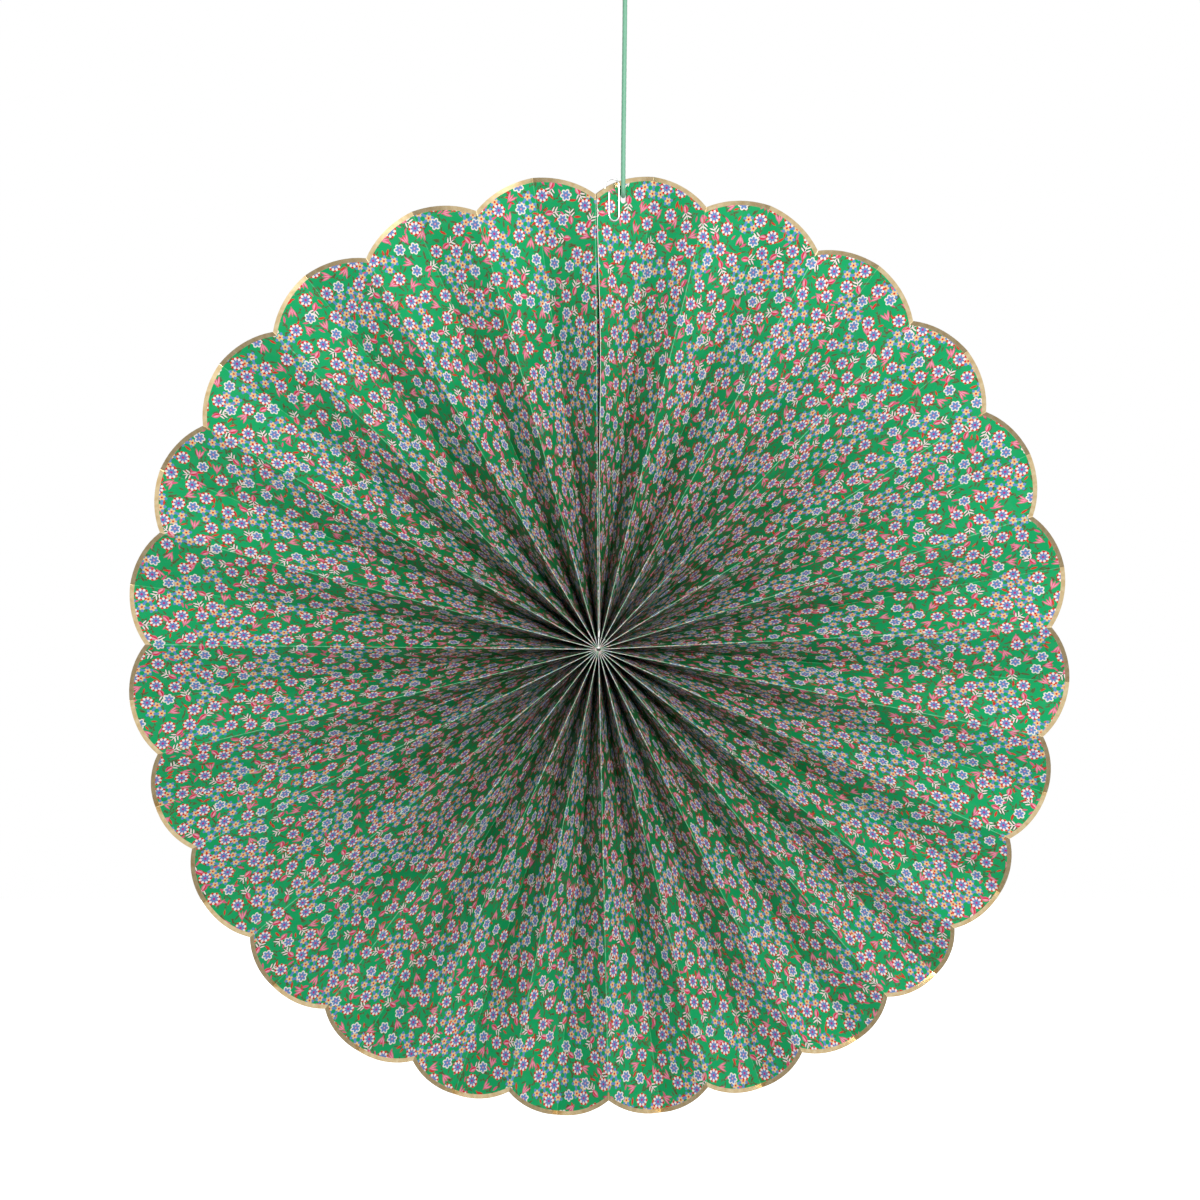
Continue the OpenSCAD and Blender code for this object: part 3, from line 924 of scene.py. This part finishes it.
def straight(start, end, steps=10):
    return [Vector(start).lerp(Vector(end), k / steps) for k in range(steps)]


bends = [k / bend_steps for k in range(bend_steps + 1)]


def lower_bend(half, y, out):
    return [(half * cos(pi * (1 + t)), y, out + half * sin(pi * (1 + t))) for t in bends]


small_bend = lower_bend(small_half, front_y, small_out)
top_bend = [
    (top_side + top_half * cos(pi * t), crossing(t), top_out + top_half * sin(pi * t))
    for t in bends
]
large_bend = lower_bend(large_half, back_y, large_out)
free_front = (-small_half, front_y, small_out + small_leg - small_half)
free_back = (large_half, back_y, large_out + large_leg - large_half)
clip_line = [
    *straight(free_front, small_bend[0]), *map(Vector, small_bend[:-1]),
    *straight(small_bend[-1], top_bend[0]), *map(Vector, top_bend[:-1]),
    *straight(top_bend[-1], large_bend[0]), *map(Vector, large_bend[:-1]),
    *straight(large_bend[-1], free_back), Vector(free_back),
]
clip_place = on_end_panel(clip_from_seam, clip_r) @ Matrix.Rotation(clip_lean, 4, "Y")
clip_line = [clip_place @ point for point in clip_line]
paper_clip = wound_tube("wire_clip", clip_line, wire_d / 2, 16)

clip_finish, tree, shader = new_finish("bright clip wire")
drawn = mottle(tree, object_place(tree).scaled((1, 1, 0.15)), 3200, 2)
wire_colour = blend_ink(tree, drawn, ink(238, 239, 240), ink(252, 252, 252))
feed(tree, shader.inputs["Base Color"], wire_colour)
feed(tree, shader.inputs["Roughness"], drawn * 0.12 + 0.26)
feed(tree, shader.inputs["Normal"], bumped(tree, drawn, 0.05, 0.00005))
shader.inputs["Metallic"].default_value = 1
paper_clip.data.materials.append(clip_finish)
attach(paper_clip, "root")
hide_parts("paper_clip")


# The studio. A plain white room with a pale floor, and one large soft lamp in front of the disc and
# to its right, whose light falls off towards the disc's lower left.
floor_w, floor_z = 12, -1.05
bpy.ops.mesh.primitive_plane_add(size=floor_w, location=(0, 0, floor_z))
floor = bpy.context.object
floor.name = "studio_floor"
floor_finish, tree, shader = new_finish("studio floor")
shader.inputs["Base Color"].default_value = ink(240, 240, 240)
shader.inputs["Roughness"].default_value = 0.9
rays = tree.nodes.new("ShaderNodeLightPath")
shader.inputs["Emission Color"].default_value = (1, 1, 1, 1)
tree.links.new(rays.outputs["Is Camera Ray"], shader.inputs["Emission Strength"])
floor.data.materials.append(floor_finish)

# The room is white where it is looked at or mirrored, and lights the disc with less than that.
room_light = 0.55
world = bpy.data.worlds.new("studio")
bpy.context.scene.world = world
world.use_nodes = True
tree = world.node_tree
rays = tree.nodes.new("ShaderNodeLightPath")
seen = Wire(tree, rays.outputs["Is Camera Ray"])
for kind in ("Is Glossy Ray", "Is Transmission Ray"):
    seen = seen.calc("MAXIMUM", Wire(tree, rays.outputs[kind]))
background = tree.nodes["Background"]
background.inputs["Color"].default_value = (1, 1, 1, 1)
feed(tree, background.inputs["Strength"], seen * (1 - room_light) + room_light)

key_place, key_aim = Vector((0.51, -2.3, 0.04)), Vector((0.03, 0, -0.23))
key_turn = (key_aim - key_place).to_track_quat("-Z", "Y").to_euler()
bpy.ops.object.light_add(type="SPOT", location=key_place, rotation=key_turn)
key_lamp = bpy.context.object
key_lamp.name = "key_lamp"
key_lamp.data.spot_size, key_lamp.data.spot_blend = radians(31), 1
key_lamp.data.shadow_soft_size = 0.28
key_lamp.data.energy = 292
